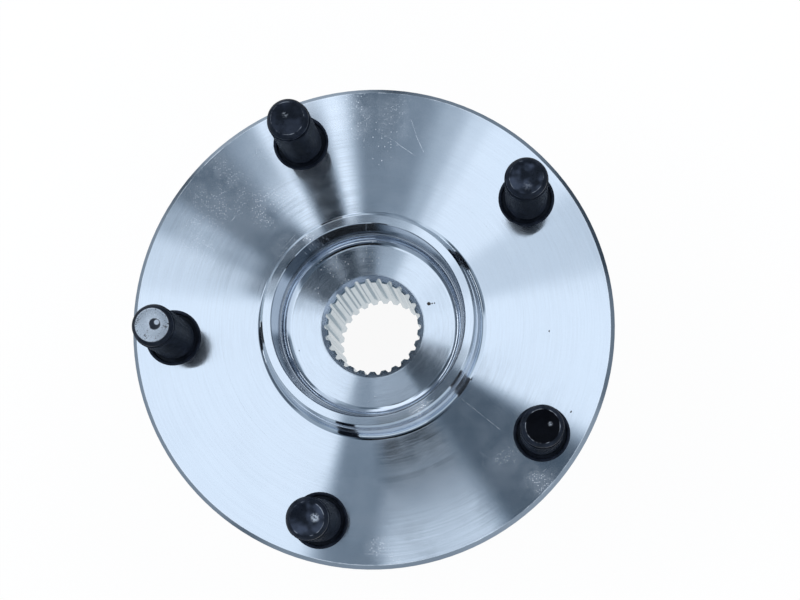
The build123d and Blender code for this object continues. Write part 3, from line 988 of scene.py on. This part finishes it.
def makeStudBody():
    shape = studShape
    head, foot, lip = shape["headRadius"], shape["headEnd"], shape["headRound"]
    top, shoulder = shape["headTop"] - 0.02 * mm, shape["shoulderRadius"]
    collar, neck = shape["collarRadius"], shape["neckRadius"]
    quarter = [radians(90) * step / shape["roundSteps"] for step in range(shape["roundSteps"] + 1)]
    rounding = [(head - lip + lip * sin(turn), foot + lip - lip * cos(turn)) for turn in quarter]
    outline = [
        (0, foot),
        *rounding,
        (head, top),
        (shoulder, top),
        (shoulder, -0.95 * mm),
        (collar, -0.08 * mm),  # the collar closes the hole at the flange's face
        (collar - 0.10 * mm, -0.01 * mm),
        (collar - 0.55 * mm, 0.02 * mm),
        (shoulder + 0.05 * mm, -0.10 * mm),
        (shoulder - 0.05 * mm, -0.35 * mm),
        (shoulder - 0.15 * mm, -1.60 * mm),
        (neck, -1.60 * mm),  # a groove, and the neck up into the thread
        (neck - 0.4 * mm, 0.4 * mm),
        (0, 0.4 * mm),
    ]
    return turnLine(drawLine("studBody", outline), shape["steps"])


def makeStudTip():
    shape = studShape
    tip, cut, reach, start = shape["tipRadius"], shape["tipChamfer"], shape["reach"], shape["threadEnd"]
    outline = [
        (0, start - 1.0 * mm),  # inside the thread's end
        (tip - 0.8 * mm, start - 1.0 * mm),
        (tip - 0.05 * mm, start + 0.10 * mm),
        (tip, start + 0.35 * mm),
        (tip, reach - cut - 0.10 * mm),  # the chamfer, with both its edges rounded
        (tip - 0.08 * mm, reach - cut + 0.05 * mm),
        (tip - cut + 0.12 * mm, reach - 0.10 * mm),
        (tip - cut - 0.05 * mm, reach - 0.005 * mm),
        (tip - cut - 0.35 * mm, reach - 0.02 * mm),
        (tip - cut - 0.60 * mm, reach - 0.10 * mm),
        (0.6 * mm, reach - 0.12 * mm),  # the face, a little hollow
        (0, reach - 0.12 * mm),
    ]
    return turnLine(drawLine("studTip", outline), shape["steps"])


def makeThread():
    shape = studShape
    pitch, outer, inner = shape["pitch"], shape["radius"], shape["radius"] - shape["threadDepth"]
    turns = int((shape["threadEnd"] - shape["threadStart"]) / pitch) + 2
    low = shape["threadStart"] - 1.2 * pitch
    outline = [
        (inner, low),  # one turn of the thread, wound upwards and then cut to length
        (inner, low + 0.12 * pitch),
        (outer, low + 0.48 * pitch),
        (outer, low + 0.62 * pitch),
        (inner, low + 0.98 * pitch),
    ]
    thread = drawLine("studThread", outline)
    winding = thread.modifiers.new("winding", "SCREW")
    winding.axis = "Z"
    winding.screw_offset = pitch
    winding.iterations = turns
    winding.steps = winding.render_steps = shape["threadSteps"]
    winding.use_merge_vertices = True
    winding.merge_threshold = 0.05 * mm
    bpy.ops.object.modifier_apply(modifier="winding")
    bpy.ops.object.mode_set(mode="EDIT")
    bpy.ops.mesh.select_all(action="SELECT")
    bpy.ops.mesh.remove_doubles(threshold=0.04 * mm)
    for height, below in ((shape["threadStart"], True), (shape["threadEnd"], False)):
        bpy.ops.mesh.select_all(action="SELECT")
        bpy.ops.mesh.bisect(
            plane_co=(0, 0, height),
            plane_no=(0, 0, 1),
            use_fill=True,
            clear_inner=below,
            clear_outer=not below,
        )
    bpy.ops.mesh.select_all(action="SELECT")
    bpy.ops.mesh.normals_make_consistent(inside=False)
    bpy.ops.object.mode_set(mode="OBJECT")
    return thread


def joinPieces(name, pieces):
    bpy.ops.object.select_all(action="DESELECT")
    for piece in pieces:
        piece.select_set(True)
    bpy.context.view_layer.objects.active = pieces[0]
    bpy.ops.object.join()
    joined = bpy.context.object
    joined.name = name
    bpy.ops.object.shade_smooth_by_angle(angle=radians(studShape["smoothUnder"]))
    return joined


def bareTip(tree, wear, flat, cloud, fine):
    # Bare metal on a tip's face: all of it on one stud, a rubbed patch on the others
    look = studFinish
    spot, reach, strength = wear["rubbed"]
    patch = rescale(tree, nearTo(tree, flat, spot), reach, reach * look["rubbedCore"], 0.0, strength)
    rubbed = maths(tree, "MULTIPLY", patch, rescale(tree, fine, *look["rubbedRange"]))
    ground = maths(tree, "MULTIPLY", rescale(tree, cloud, *look["groundRange"]), wear["bare"])
    return maths(tree, "MAXIMUM", rubbed, ground)


def paintedHollowShade(tree, wear, flat, radius, cloud, fine):
    # Painted shade of a hollow in the bare tip that is not modelled, leaving a light spot beside its
    # middle bare, and scoring round it
    look = studFinish
    hollow, reach, strength = wear["dark"]
    uneven = maths(tree, "MULTIPLY", maths(tree, "SUBTRACT", cloud, 0.5), look["markRagged"])
    near = maths(tree, "ADD", nearTo(tree, flat, hollow), uneven)
    dark = rescale(tree, near, reach, reach * look["markCore"], 0.0, strength)
    (right, up), lit = look["markLight"]
    light = rescale(tree, nearTo(tree, flat, (hollow[0] + right, hollow[1] + up)), *lit)
    scores = rescale(tree, fine, *look["scoredRange"])
    scored = maths(tree, "MULTIPLY", scores, rescale(tree, radius, *look["scoredReach"]))
    return maths(tree, "MAXIMUM", maths(tree, "MULTIPLY", dark, light), scored)


def wornRim(tree, onTip, radius, cloud, blotch):
    # A broken bright line round the tip's edge
    look = studFinish
    away = maths(tree, "ABSOLUTE", maths(tree, "SUBTRACT", radius, look["rimCircle"]))
    line = maths(tree, "MULTIPLY", rescale(tree, away, *look["rimWidth"]), onTip)
    broken = maths(tree, "MULTIPLY", line, rescale(tree, cloud, *look["rimGaps"]))
    return maths(tree, "MULTIPLY", broken, rescale(tree, blotch, *look["rimBlotches"]))


def blackStudSteel(name, centre, wear, seed):
    made, tree = newMaterial(name)
    look = studFinish
    local = vectors(tree, "SUBTRACT", objectPlace(tree), (*centre, 0))
    flat = flatPlace(tree, local)
    radius = vectors(tree, "LENGTH", flat)
    height = addNode(tree, "SeparateXYZ", {0: local}).outputs["Z"]
    seeded = vectors(tree, "ADD", local, (seed, seed, 0))
    cloud = noise(tree, seeded, *look["cloud"])
    fine = noise(tree, seeded, *look["fine"])
    blotch = noise(tree, seeded, *look["blotch"])
    onTip = rescale(tree, height, *[studShape["reach"] - below for below in look["tipBand"]])
    face = maths(tree, "MULTIPLY", onTip, rescale(tree, radius, *look["faceEdge"]))
    smudge = maths(tree, "MULTIPLY", rescale(tree, blotch, *look["smudgeRange"]), wear["smudge"])
    sooty = maths(tree, "MULTIPLY", face, wear["sooty"])
    bare = maths(tree, "MULTIPLY", face, bareTip(tree, wear, flat, cloud, fine))
    # Painted shade: one tip's hollow is drawn dark instead of modelled
    if wear["dark"]:
        dark = paintedHollowShade(tree, wear, flat, radius, cloud, fine)
        bare = maths(tree, "SUBTRACT", bare, dark, clamp=True)
    bare = maths(tree, "MAXIMUM", bare, wornRim(tree, onTip, radius, cloud, blotch), clamp=True)
    colour = blendColours(tree, rescale(tree, cloud, *look["cloudRange"]), look["black"], look["grey"])
    colour = blendColours(tree, maths(tree, "MULTIPLY", face, smudge), colour, look["smudge"])
    colour = blendColours(tree, sooty, colour, look["soot"])
    colour = blendColours(tree, bare, colour, look["bare"])
    closeMaterial(
        tree,
        Base_Color=colour,
        Metallic=bare,
        Specular_IOR_Level=rescale(tree, sooty, 0.0, 1.0, *look["specular"]),
        Specular_Tint=(*look["sheen"], 1),
        Roughness=rescale(tree, fine, *glossRange, look["smooth"], look["rough"]),
        Normal=bump(tree, cloud, look["grainDepth"], look["grainStrength"]),
    )
    return made


def placeStuds():
    shape = studShape
    pattern = joinPieces("wheelStudPattern", [makeStudBody(), makeStudTip(), makeThread()])
    for number in range(shape["count"]):
        angle = radians(shape["firstAngle"] + 360 / shape["count"] * number)
        centre = (shape["circle"] * cos(angle), shape["circle"] * sin(angle))
        stud = bpy.data.objects.new(f"wheelStud{number + 1}", pattern.data.copy())
        bpy.context.scene.collection.objects.link(stud)
        turn = Matrix.Rotation(angle + shape["ownTurn"] * number, 4, "Z")
        stud.data.transform(Matrix.Translation((*centre, 0)) @ turn)
        seed = shape["ownSeed"] * number
        finish = blackStudSteel(f"blackStudSteel{number + 1}", centre, tipWear[number], seed)
        stud.data.materials.clear()
        stud.data.materials.append(finish)
        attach(stud, "turning_hub")
        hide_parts("wheel_studs")
    bpy.data.objects.remove(pattern)


makePilotSkin()
placeStuds()
print("pilot and wheel studs turned")
